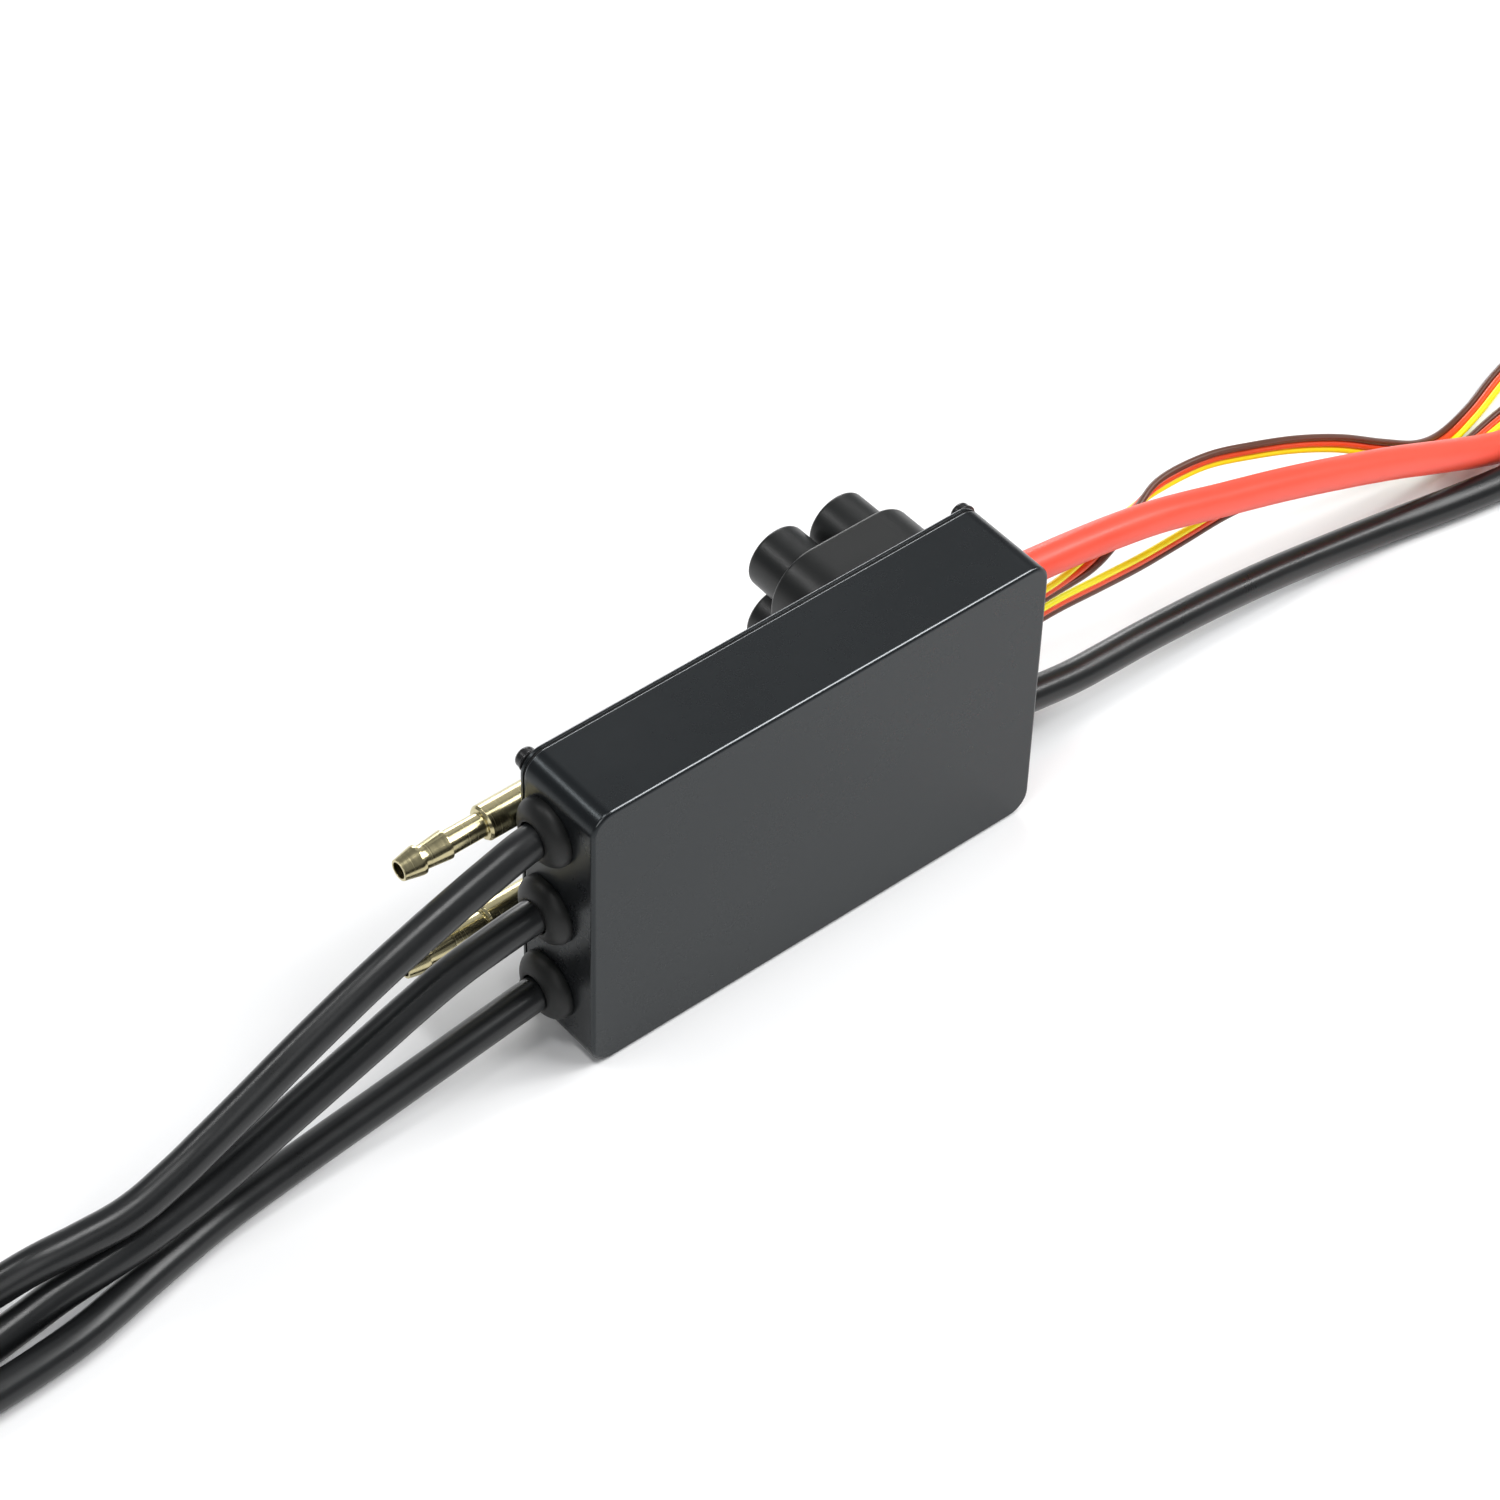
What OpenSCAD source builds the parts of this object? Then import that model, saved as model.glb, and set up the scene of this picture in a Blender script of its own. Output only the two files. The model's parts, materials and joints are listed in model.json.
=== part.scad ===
// Electronic speed controller in a sealed, water-cooled aluminium case.
// It stands on its long narrow side: X along the case, Y through its thickness,
// Z up. The origin is under the middle of the rigid object, on the surface.

/* [Case] */
// Length of the case
case_l = 97.2; // [97.2:0.2:97.2]
// Height of the case as it stands
case_w = 60; // [60:1:60]
// From the measuring plane of the broad face to the lid's outer face
case_t = 18.4; // [18.4:0.1:18.6]
// Corner radius of the case
case_r = 4.2; // [3.6:0.2:4.6]
// Wall thickness of the machined tub
wall = 2; // [1.6:0.1:2.2]
// Thickness of the lid
lid_t = 0.8; // [0.8:0.1:1]
// Thickness of the lid gasket
gasket_t = 0.2; // [0.2:0.1:0.3]
// Bevel along the edges of the broad face
bevel = 0.7; // [0.3:0.1:0.8]

/* [Screws] */
// Distance of the lid screws from the edges
screw_inset = 2.8; // [2.6:0.1:3]
// Head radius of the lid screws
screw_head_r = 2.1; // [1.9:0.05:2.1]
// Head height of the lid screws
screw_head_h = 2.1; // [1.8:0.1:2.2]

/* [Wires] */
// Outer radius of the heavy silicone wires
wire_r = 3.1; // [2.9:0.05:3.2]
// Radius of the stranded conductor
core_r = 1.9; // [1.7:0.05:2]
// Half width of a three-strand signal lead
lead_a = 1.95; // [1.8:0.05:2]
// Half thickness of a three-strand signal lead
lead_b = 0.65; // [0.55:0.05:0.7]

/* [Grommets] */
// Flange radius of the phase grommets
grommet_r = 6.4; // [6:0.1:6.6]
// Flange radius of the battery grommets
bat_grommet_r = 5.6; // [5.2:0.1:5.7]
// How far a phase grommet's dome stands out of the case
grommet_h = 3.3; // [2.6:0.1:3.4]
// How far a battery grommet's dome stands out of the case
bat_grommet_h = 2; // [1.6:0.1:2]

/* [Cooling] */
// Thickness of the water block
block_t = 9.6; // [9:0.2:10]
// Radius of the largest barb
barb_r = 2.65; // [2.5:0.05:2.7]
// Radius of a nozzle's collar
collar_r = 3.2; // [3:0.1:3.4]
// Height of the upper nozzle's axis
nozzle_top = 43.1; // [42.8:0.1:43.2]
// Height of the lower nozzle's axis
nozzle_low = 19.2; // [18:0.1:20]

/* [Capacitors] */
// Outer radius of the boot's round towers
tower_r = 6.2; // [6.1:0.05:6.3]
// Capacitor radius
cap_r = 5; // [4.9:0.05:5]
// Thickness of the boot's wall
boot_wall = 1.05; // [1:0.05:1.1]

/* [Hidden] */
$fn = 48;
ox = 39;
oy = 20.5;
tub_t = case_t - lid_t - gasket_t;
lid_y = case_t - lid_t;
floor_t = 2.2;
front_y = -0.6;
screw_x = screw_inset - 0.6;
block_z = 13;
wy = 11;
phase_z = [48.7, 30, 11.3];
bat_z = [46, 14];
lead_z = 34.15;
ny = 23;
block_x0 = 7.5;
block_x1 = 52;
bolt_x = [10.6, 48];
bolt_z = [24, 36];
cap_x = [72.7, 86.3];
cap_z = [44.1, 30, 15.9];
boot_x0 = 63.9;
boot_x1 = 95.1;
boot_z0 = 7.1;
boot_z1 = 52.9;
boot_base_y = 32.3;
boot_end_y = 41.6;
post_x = [16, 80];
post_z = [9.5, 50.5];
low_post_x = [24, 72];
low_post_z = [16, 44];
board_y = 13.4;
board_t = 1.6;
ctrl_y = 5;
ctrl_t = 1.2;
fet_x = [15.3, 20.8, 26.3, 31.8, 37.3, 42.8];
fet_z = [22, 38];

// Routes of the free wires: x, y, z, and the roll of a flat lead in degrees
route_u = [[3.2,11,48.3],[-4,11,48.1],[-20,11,43.3],[-36,11,37.2],[-52,11,29.7],[-68,10.9,21.8],[-84,10.8,15.9],[-100,14,12.4],[-116,17.6,6.4],[-133,18.6,3.2],[-150,18.6,3.2]];
route_v = [[3.2,11,30.2],[-4,11,30.2],[-20,11,27.8],[-36,11,22.4],[-52,10.9,16.9],[-68,10.5,11.9],[-84,9.7,9.5],[-98,10.8,6.5],[-113,11.2,3.2],[-130,11.2,3.2],[-146,11.2,3.2]];
route_w = [[3.2,11,10.9],[-4,11,10.8],[-20,10.7,9.1],[-36,10.6,7],[-52,10.4,5.1],[-68,9.8,3.4],[-84,7,3.2],[-98,4.2,3.2],[-112,3.2,3.2],[-126,3,3.2],[-140,3,3.2]];
route_pos = [[94,11,46],[101,11,45.9],[117,10.7,44],[133,10.5,40.8],[149,10.5,35.5],[165,10.5,30.1],[181,10.5,24.1],[197,10.5,17.6],[213,10.5,10.4],[229,10.5,4.2],[245,10.5,3.2],[262,10.5,3.2]];
route_neg = [[94,11,13.7],[101,11,13.5],[117,10.6,11.3],[133,10.5,10.7],[149,10.5,9.4],[165,10.5,7.3],[181,10.3,4.6],[196,8.8,3.3],[211,6,3.2],[227,3.6,3.2],[243,2.6,3.2],[258,2.6,3.2]];
route_la = [[94,11,36.4,0],[101,11,36.4,0],[111,11.1,36.6,0],[120,12.3,36.3,-40],[128,14.7,36.5,-90],[135.5,17.4,36.8,-140],[143,18.8,37.2,-180],[154,18.8,36.3,-180],[165,18.2,33,-180],[177,18.2,27.8,-180],[189,18.2,21.3,-180],[201,18.2,13.4,-180],[212,18.6,6.4,-200],[222,20.4,2.2,-240],[233,23.4,0.9,-270],[244,27,0.9,-270],[254,29.2,1.25,-270],[260,29.2,1.25,-270]];
route_lb = [[94,11,31.9,0],[101,11,31.9,0],[112,11.3,31.6,0],[123,12,29.8,0],[134,13.1,27.6,0],[145,13.8,26.7,0],[156,14.1,26.5,0],[167,14.4,24.6,0],[179,14.8,20.6,0],[191,14.8,15,0],[203,14.8,9.2,0],[214,15.2,4.2,20],[225,16.8,1.6,70],[236,18.8,0.9,90],[246,19.8,1.25,90],[252,19.8,1.25,90]];
plug_l = 14;
plug_w = 7.6;
plug_h = 2.5;
tip_l = 8;

// ---- helpers ----
module place() translate([-ox, -oy, 0]) children();
module ycyl(x, z, y0, y1, r, r2 = -1, fn = 48)
  translate([x, y0, z]) rotate([-90, 0, 0])
    cylinder(h = y1 - y0, r1 = r, r2 = r2 < 0 ? r : r2, $fn = fn);
module xcyl(y, z, x0, x1, r, r2 = -1, fn = 48)
  translate([x0, y, z]) rotate([0, 90, 0])
    cylinder(h = x1 - x0, r1 = r, r2 = r2 < 0 ? r : r2, $fn = fn);
module zcyl(x, y, z0, z1, r)
  translate([x, y, z0]) cylinder(h = z1 - z0, r = r);
module box(a, b) translate(a) cube(b - a);
// Box with rounded edges along Y
module rbox(x0, x1, z0, z1, y0, y1, r) {
  box([x0 + r, y0, z0], [x1 - r, y1, z1]);
  box([x0, y0, z0 + r], [x1, y1, z1 - r]);
  for (x = [x0 + r, x1 - r], z = [z0 + r, z1 - r]) ycyl(x, z, y0, y1, r);
}
// Slab from y = 0 to the bevel's depth, with bevelled rim
module bevel_slab(l, w, r, c) {
  translate([r, 0, 0]) rotate([90, 0, 90]) linear_extrude(l - 2 * r)
    polygon([[0, c], [c, 0], [c, w], [0, w - c]]);
  translate([0, 0, r]) linear_extrude(w - 2 * r)
    polygon([[c, 0], [l - c, 0], [l, c], [0, c]]);
  for (x = [r, l - r], z = [r, w - r]) ycyl(x, z, 0, c, r - c, r);
}
// Slot shape: a bar along Z with round ends, extruded along X
module xslot(y, z0, z1, r, x0, x1) {
  box([x0, y - r, z0 + r], [x1, y + r, z1 - r]);
  for (z = [z0 + r, z1 - r]) xcyl(y, z, x0, x1, r);
}
function unit(v) = v / norm(v);
function xyz(p) = [p[0], p[1], p[2]];
function tang(p, i) = i == 0 ? unit(xyz(p[1]) - xyz(p[0]))
  : i == len(p) - 1 ? unit(xyz(p[i]) - xyz(p[i - 1]))
  : unit(unit(xyz(p[i + 1]) - xyz(p[i])) + unit(xyz(p[i]) - xyz(p[i - 1])));
function roll(q) = len(q) > 3 ? q[3] : 0;
function ring(p, i, prof) = let (t = tang(p, i), n = unit([0, 0, 1] - t * t[2]),
  m = cross(t, n), a = roll(p[i]))
  [for (q = prof) xyz(p[i]) + n * (q[0] * cos(a) - q[1] * sin(a)) + m * (q[0] * sin(a) + q[1] * cos(a))];
// Tube of one outline swept along a route
module sweep(p, prof) {
  k = len(prof);
  n = len(p);
  pts = [for (i = [0 : n - 1]) each ring(p, i, prof)];
  sides = [for (i = [0 : n - 2], j = [0 : k - 1]) let (a = i * k + j, b = i * k + (j + 1) % k)
    each [[a, b, b + k], [a, b + k, a + k]]];
  ends = [[for (j = [k - 1 : -1 : 0]) j], [for (j = [0 : k - 1]) (n - 1) * k + j]];
  polyhedron(points = pts, faces = [for (f = concat(ends, sides)) [for (q = [len(f) - 1 : -1 : 0]) f[q]]], convexity = 4);
}
wire_prof = [for (j = [0 : 11]) [wire_r * cos(30 * j), wire_r * sin(30 * j)]];
lead_prof = [[lead_a, lead_b * 0.45], [lead_a * 0.82, lead_b], [-lead_a * 0.82, lead_b],
  [-lead_a, lead_b * 0.45], [-lead_a, -lead_b * 0.45], [-lead_a * 0.82, -lead_b],
  [lead_a * 0.82, -lead_b], [lead_a, -lead_b * 0.45]];
function last(p) = p[len(p) - 1];

// ---- case ----
module case_body() color([0.06, 0.06, 0.065]) place() difference() {
  union() {
    difference() {
      union() {
        translate([0, front_y, 0]) bevel_slab(case_l, case_w, case_r, bevel);
        rbox(0, case_l, 0, case_w, front_y + bevel, tub_t, case_r);
      }
      rbox(wall, case_l - wall, wall, case_w - wall, floor_t, tub_t + 1, case_r - wall);
    }
    intersection() {
      rbox(1, case_l - 1, 1, case_w - 1, floor_t - 1, tub_t, case_r - 1);
      for (x = [screw_x, case_l - screw_x], z = [screw_inset, case_w - screw_inset])
        ycyl(x, z, floor_t - 1, tub_t, 3);
    }
  }
  for (x = [screw_x, case_l - screw_x], z = [screw_inset, case_w - screw_inset])
    ycyl(x, z, tub_t - 9, tub_t + 1, 1.25);
  for (z = phase_z) xcyl(wy, z, -1, wall + 1, 4.6);
  for (z = bat_z) xcyl(wy, z, case_l - wall - 1, case_l + 1, 4.6);
  xslot(wy, lead_z - 5, lead_z + 5, 1.8, case_l - wall - 1, case_l + 1);
}
module lid_plate() color([0.06, 0.06, 0.065]) place() difference() {
  rbox(0, case_l, 0, case_w, lid_y, case_t, case_r);
  for (x = [screw_x, case_l - screw_x], z = [screw_inset, case_w - screw_inset])
    ycyl(x, z, lid_y - 1, case_t + 1, 1.35);
  for (x = bolt_x, z = bolt_z) ycyl(x, z, lid_y - 1, case_t + 1, 1.35);
  rbox(67.5, 91.5, 11, 49, lid_y - 1, case_t + 1, 3);
}
module lid_gasket() color([0.12, 0.12, 0.12]) place() difference() {
  rbox(0.2, case_l - 0.2, 0.2, case_w - 0.2, tub_t, lid_y, case_r - 0.2);
  rbox(1.8, case_l - 1.8, 6.6, case_w - 6.6, tub_t - 1, lid_y + 1, 2);
  rbox(6.6, case_l - 6.6, 1.8, case_w - 1.8, tub_t - 1, lid_y + 1, 2);
  for (x = [screw_x, case_l - screw_x], z = [screw_inset, case_w - screw_inset])
    ycyl(x, z, tub_t - 1, lid_y + 1, 1.35);
}
module lid_screws() color([0.08, 0.08, 0.08]) place()
  for (x = [screw_x, case_l - screw_x], z = [screw_inset, case_w - screw_inset])
    difference() {
      union() {
        ycyl(x, z, tub_t - 7, case_t, 1.2);
        ycyl(x, z, case_t, case_t + 1.2, screw_head_r);
        ycyl(x, z, case_t + 1.2, case_t + screw_head_h, screw_head_r, screw_head_r * 0.72);
      }
      ycyl(x, z, case_t + 0.9, case_t + screw_head_h + 1, 0.87, fn = 6);
    }

// ---- grommets ----
module grommet(fr, h, br) rotate([0, -90, 0]) rotate_extrude()
  polygon([[br, -3.2], [fr - 1.1, -3.2], [fr - 1.1, -2], [4.55, -2], [4.55, 0], [fr, 0],
    [fr, 0.2 * h], [fr * 0.94, 0.46 * h], [fr * 0.8, 0.76 * h], [br + 0.4, h], [br, 0.95 * h]]);
module phase_grommets() color([0.05, 0.05, 0.05]) place()
  for (z = phase_z) translate([0, wy, z]) grommet(grommet_r, grommet_h, 3.55);
module battery_grommets() color([0.05, 0.05, 0.05]) place()
  for (z = bat_z) translate([case_l, wy, z]) mirror([1, 0, 0]) grommet(bat_grommet_r, bat_grommet_h, 3.55);
module signal_grommet() color([0.05, 0.05, 0.05]) place() difference() {
  union() {
    xslot(wy, lead_z - 5.55, lead_z + 5.55, 2.9, case_l, case_l + 1.2);
    xslot(wy, lead_z - 4.95, lead_z + 4.95, 1.75, case_l - wall, case_l);
    xslot(wy, lead_z - 5.55, lead_z + 5.55, 2.5, case_l - wall - 1, case_l - wall);
  }
  box([case_l - wall - 2, wy - 0.8, lead_z - 4.35], [case_l + 2, wy + 0.8, lead_z + 4.35]);
}

// ---- cooling ----
module cooling_block() color([0.12, 0.12, 0.13]) place() difference() {
  rbox(block_x0, block_x1, block_z, case_w - block_z, case_t, case_t + block_t, 2);
  for (z = [nozzle_low, nozzle_top]) {
    xcyl(ny, z, block_x0 - 1, 12, 2.5);
    xcyl(ny, z, 11, 43, 2);
  }
  zcyl(41, ny, nozzle_low - 2, case_w, 2);
  zcyl(41, ny, case_w - 14.8, case_w, 2.4);
  for (x = bolt_x, z = bolt_z) ycyl(x, z, case_t - 1, case_t + 5, 1.25);
}
module channel_plug() color([0.7, 0.66, 0.5]) place() difference() {
  zcyl(41, ny, case_w - 14.8, case_w - block_z, 2.35);
  translate([41, ny, case_w - block_z - 1]) cylinder(h = 4, r = 1.1, $fn = 6);
}
module nozzle(z) difference() {
  union() {
    xcyl(ny, z, -21.2, -17.7, 1.95, barb_r);
    xcyl(ny, z, -17.7, -17.1, barb_r);
    xcyl(ny, z, -17.1, -16.2, 2.15);
    xcyl(ny, z, -16.2, -12, 2.2, barb_r - 0.05);
    xcyl(ny, z, -12, -4.7, 2.18);
    xcyl(ny, z, -4.7, -4.2, collar_r - 0.4, collar_r);
    xcyl(ny, z, -4.2, block_x0 - 1, collar_r);
    xcyl(ny, z, block_x0 - 1, block_x0, 2.45);
    xcyl(ny, z, block_x0, 11.8, 2.45);
  }
  xcyl(ny, z, -23, 13, 1.45);
}
module inlet_nozzle() color([0.8, 0.77, 0.66]) place() nozzle(nozzle_top);
module outlet_nozzle() color([0.8, 0.77, 0.66]) place() nozzle(nozzle_low);
module nozzle_o_rings() color([0.05, 0.05, 0.05]) place()
  for (z = [nozzle_low, nozzle_top]) difference() {
    xcyl(ny, z, block_x0 - 1, block_x0, 3.3);
    xcyl(ny, z, block_x0 - 2, block_x0 + 1, 2.5);
  }
module block_bolts() color([0.6, 0.6, 0.6]) place()
  for (x = bolt_x, z = bolt_z) difference() {
    union() {
      ycyl(x, z, lid_y - 1, lid_y, 2);
      ycyl(x, z, lid_y, case_t + 3.6, 1.2);
    }
    ycyl(x, z, lid_y - 2, lid_y - 0.4, 0.8, fn = 6);
  }

// ---- capacitors ----
module capacitor_boot() color([0.09, 0.09, 0.09]) place() difference() {
  union() {
    rbox(boot_x0, boot_x1, boot_z0, boot_z1, case_t, boot_base_y - 0.5, 8.8);
    rbox(boot_x0 + 0.4, boot_x1 - 0.4, boot_z0 + 0.4, boot_z1 - 0.4, boot_base_y - 0.5, boot_base_y, 8.4);
    for (x = cap_x, z = cap_z) {
      ycyl(x, z, boot_base_y - 0.1, boot_end_y - 0.6, tower_r);
      ycyl(x, z, boot_end_y - 0.6, boot_end_y, tower_r, tower_r - 0.6);
    }
  }
  rbox(boot_x0 + 1.6, boot_x1 - 1.6, boot_z0 + 1.6, boot_z1 - 1.6, case_t - 1, boot_base_y - 1.6, 7.2);
  for (x = cap_x, z = cap_z) ycyl(x, z, boot_base_y - 3, boot_end_y - 1.2, tower_r - boot_wall);
}
module capacitors() color([0.1, 0.12, 0.3]) place()
  for (x = cap_x, z = cap_z) {
    ycyl(x, z, 19.2, 20, cap_r - 0.3, cap_r);
    ycyl(x, z, 20, 21.2, cap_r);
    ycyl(x, z, 21.2, 21.8, cap_r - 0.35);
    ycyl(x, z, 21.8, 39.2, cap_r);
  }
module capacitor_leads() color([0.8, 0.8, 0.8]) place()
  for (x = cap_x, z = cap_z, d = [-2.5, 2.5]) ycyl(x, z + d, board_y + board_t, 19.2, 0.35, fn = 16);

// ---- power stage ----
module thermal_pad() color([0.55, 0.6, 0.7]) place() box([12.8, lid_y - 1, 17], [45.3, lid_y, 43]);
module mosfets() color([0.08, 0.08, 0.08]) place()
  for (x = fet_x, z = fet_z) {
    box([x - 2.4, board_y + board_t, z - 3], [x + 2.4, lid_y - 1, z + 3]);
    for (s = [-1, 1], k = [-1.5, -0.5, 0.5, 1.5])
      box([x + k * 1.2 - 0.25, board_y + board_t, z + s * 3.3 - 0.35], [x + k * 1.2 + 0.25, board_y + board_t + 0.3, z + s * 3.3 + 0.35]);
  }
module power_board() color([0.05, 0.2, 0.12]) place() difference() {
  box([6.6, board_y, 6.6], [91.4, board_y + board_t, 53.4]);
  for (x = post_x, z = post_z) ycyl(x, z, board_y - 1, board_y + board_t + 1, 1.1);
}
module board_posts() color([0.75, 0.62, 0.3]) place()
  for (x = post_x, z = post_z) difference() {
    ycyl(x, z, floor_t, board_y, 2.4);
    ycyl(x, z, board_y - 5.6, board_y + 1, 1.05);
  }
module board_screws() color([0.7, 0.7, 0.7]) place()
  for (x = post_x, z = post_z) difference() {
    union() {
      ycyl(x, z, board_y - 5, board_y + board_t, 1);
      ycyl(x, z, board_y + board_t, board_y + board_t + 1, 1.9);
    }
    ycyl(x, z, board_y + board_t + 0.5, board_y + board_t + 2, 0.7, fn = 6);
  }
module terminal(x0, x1, z) difference() {
  box([x0, wy - 2.9, z - 3.2], [x1, board_y, z + 3.2]);
  xcyl(wy, z, x0 - 1, x1 + 1, 1.95, fn = 32);
}
module phase_terminals() color([0.75, 0.45, 0.25]) place()
  for (z = [48.3, 30.2, 10.9]) terminal(5, 11, z);
module battery_terminals() color([0.75, 0.45, 0.25]) place()
  for (z = [46, 13.7]) terminal(86, 92, z);
module wire_cores() color([0.78, 0.74, 0.68]) place() {
  for (z = [48.3, 30.2, 10.9]) xcyl(wy, z, 3.2, 10.6, core_r, fn = 32);
  for (z = [46, 13.7]) xcyl(wy, z, 86.4, 94, core_r, fn = 32);
}

// ---- control board ----
module control_board() color([0.05, 0.2, 0.12]) place() difference() {
  box([20.5, ctrl_y, 12.5], [75.5, ctrl_y + ctrl_t, 47.5]);
  for (x = low_post_x, z = low_post_z) ycyl(x, z, ctrl_y - 1, ctrl_y + ctrl_t + 1, 1.1);
}
module control_posts() color([0.75, 0.62, 0.3]) place()
  for (x = low_post_x, z = low_post_z) difference() {
    ycyl(x, z, floor_t, ctrl_y, 2.2);
    ycyl(x, z, floor_t + 0.4, ctrl_y + 1, 1.05);
  }
module control_screws() color([0.7, 0.7, 0.7]) place()
  for (x = low_post_x, z = low_post_z) difference() {
    union() {
      ycyl(x, z, floor_t + 0.8, ctrl_y + ctrl_t, 1);
      ycyl(x, z, ctrl_y + ctrl_t, ctrl_y + ctrl_t + 1, 1.9);
    }
    ycyl(x, z, ctrl_y + ctrl_t + 0.5, ctrl_y + ctrl_t + 2, 0.7, fn = 6);
  }
module microcontroller() color([0.07, 0.07, 0.07]) place() {
  y = ctrl_y + ctrl_t;
  box([30, y + 0.1, 26], [37, y + 1.2, 33]);
  for (k = [0 : 6], s = [0, 1]) {
    box([30.4 + k * 1, y, s ? 33 : 25.2], [30.7 + k * 1, y + 0.4, s ? 33.8 : 26]);
    box([s ? 37 : 29.2, y, 26.4 + k * 1], [s ? 37.8 : 30, y + 0.4, 26.7 + k * 1]);
  }
}
module gate_drivers() color([0.07, 0.07, 0.07]) place() {
  y = ctrl_y + ctrl_t;
  for (z = [20, 29.5, 39]) {
    box([43, y, z - 2], [48, y + 1.3, z + 2]);
    for (k = [0 : 3], s = [0, 1])
      box([43.5 + k * 1.2, y, s ? z + 2 : z - 2.9], [43.9 + k * 1.2, y + 0.4, s ? z + 2.9 : z - 2]);
  }
}
module board_header() color([0.1, 0.1, 0.1]) place() {
  box([55, ctrl_y + ctrl_t, 20], [57.6, board_y, 40]);
}
module power_inductor() color([0.2, 0.2, 0.2]) place() {
  rbox(62, 69, 26.5, 33.5, ctrl_y + ctrl_t, ctrl_y + ctrl_t + 4.2, 1.4);
}
module regulator_chip() color([0.07, 0.07, 0.07]) place() {
  y = ctrl_y + ctrl_t;
  box([61, y, 17], [67, y + 1.6, 21]);
  for (k = [0 : 3], s = [0, 1])
    box([61.8 + k * 1.3, y, s ? 21 : 16.1], [62.2 + k * 1.3, y + 0.4, s ? 21.9 : 17]);
}

// ---- free wires and leads ----
module phase_wire_u() color([0.05, 0.05, 0.05]) place() sweep(route_u, wire_prof);
module phase_wire_v() color([0.05, 0.05, 0.05]) place() sweep(route_v, wire_prof);
module phase_wire_w() color([0.05, 0.05, 0.05]) place() sweep(route_w, wire_prof);
module tip(p, s) xcyl(p[1], p[2], s > 0 ? p[0] : p[0] - tip_l, s > 0 ? p[0] + tip_l : p[0], core_r, fn = 32);
module phase_wire_tips() color([0.78, 0.76, 0.72]) place()
  for (r = [route_u, route_v, route_w]) tip(last(r), -1);
module battery_wire_positive() color([0.85, 0.06, 0.04]) place() sweep(route_pos, wire_prof);
module battery_wire_negative() color([0.05, 0.05, 0.05]) place() sweep(route_neg, wire_prof);
module battery_wire_tips() color([0.78, 0.76, 0.72]) place()
  for (r = [route_pos, route_neg]) tip(last(r), 1);
module signal_lead_a() color([0.9, 0.45, 0.1]) place() sweep(route_la, lead_prof);
module signal_lead_b() color([0.9, 0.45, 0.1]) place() sweep(route_lb, lead_prof);
module plug(p) difference() {
  union() {
    box([p[0], p[1] - plug_w / 2, 0], [p[0] + plug_l, p[1] + plug_w / 2, plug_h]);
  }
  for (k = [-1, 0, 1])
    box([p[0] + 6, p[1] + k * 2.54 - 0.5, plug_h / 2 - 0.5], [p[0] + plug_l + 1, p[1] + k * 2.54 + 0.5, plug_h / 2 + 0.5]);
}
module contacts(p) for (k = [-1, 0, 1])
  box([p[0] + 6, p[1] + k * 2.54 - 0.45, plug_h / 2 - 0.45], [p[0] + plug_l - 4, p[1] + k * 2.54 + 0.45, plug_h / 2 + 0.45]);
module signal_plug_a() color([0.07, 0.07, 0.07]) place() plug(last(route_la));
module signal_plug_b() color([0.07, 0.07, 0.07]) place() plug(last(route_lb));
module signal_contacts_a() color([0.85, 0.75, 0.4]) place() contacts(last(route_la));
module signal_contacts_b() color([0.85, 0.75, 0.4]) place() contacts(last(route_lb));

case_body();
lid_plate();
lid_gasket();
lid_screws();
phase_grommets();
battery_grommets();
signal_grommet();
cooling_block();
channel_plug();
inlet_nozzle();
outlet_nozzle();
nozzle_o_rings();
block_bolts();
capacitor_boot();
capacitors();
capacitor_leads();
thermal_pad();
mosfets();
power_board();
board_posts();
board_screws();
phase_terminals();
battery_terminals();
wire_cores();
control_board();
control_posts();
control_screws();
microcontroller();
gate_drivers();
board_header();
power_inductor();
regulator_chip();
phase_wire_u();
phase_wire_v();
phase_wire_w();
phase_wire_tips();
battery_wire_positive();
battery_wire_negative();
battery_wire_tips();
signal_lead_a();
signal_lead_b();
signal_plug_a();
signal_plug_b();
signal_contacts_a();
signal_contacts_b();
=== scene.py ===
"""Looks of the electronic speed controller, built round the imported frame."""

import json
import math

import bmesh
import bpy
from mathutils import Matrix, Vector


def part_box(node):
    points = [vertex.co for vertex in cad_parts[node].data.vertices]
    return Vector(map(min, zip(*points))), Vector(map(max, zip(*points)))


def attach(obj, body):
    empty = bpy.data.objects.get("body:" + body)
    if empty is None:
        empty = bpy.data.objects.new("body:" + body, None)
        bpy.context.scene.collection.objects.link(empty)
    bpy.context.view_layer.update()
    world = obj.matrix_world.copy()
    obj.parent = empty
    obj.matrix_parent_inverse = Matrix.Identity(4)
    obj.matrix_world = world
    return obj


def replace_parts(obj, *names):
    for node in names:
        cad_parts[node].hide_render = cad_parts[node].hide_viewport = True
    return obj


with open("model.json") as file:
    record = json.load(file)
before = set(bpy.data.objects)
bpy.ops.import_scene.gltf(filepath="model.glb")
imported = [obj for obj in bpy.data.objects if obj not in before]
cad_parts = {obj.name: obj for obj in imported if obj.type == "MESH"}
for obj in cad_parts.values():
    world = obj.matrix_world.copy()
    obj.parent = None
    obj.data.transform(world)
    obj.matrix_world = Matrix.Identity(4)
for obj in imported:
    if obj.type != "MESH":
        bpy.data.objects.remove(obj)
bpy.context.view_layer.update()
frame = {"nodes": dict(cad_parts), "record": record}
scene = bpy.context.scene
coll = scene.collection
MM = 0.001

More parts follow.
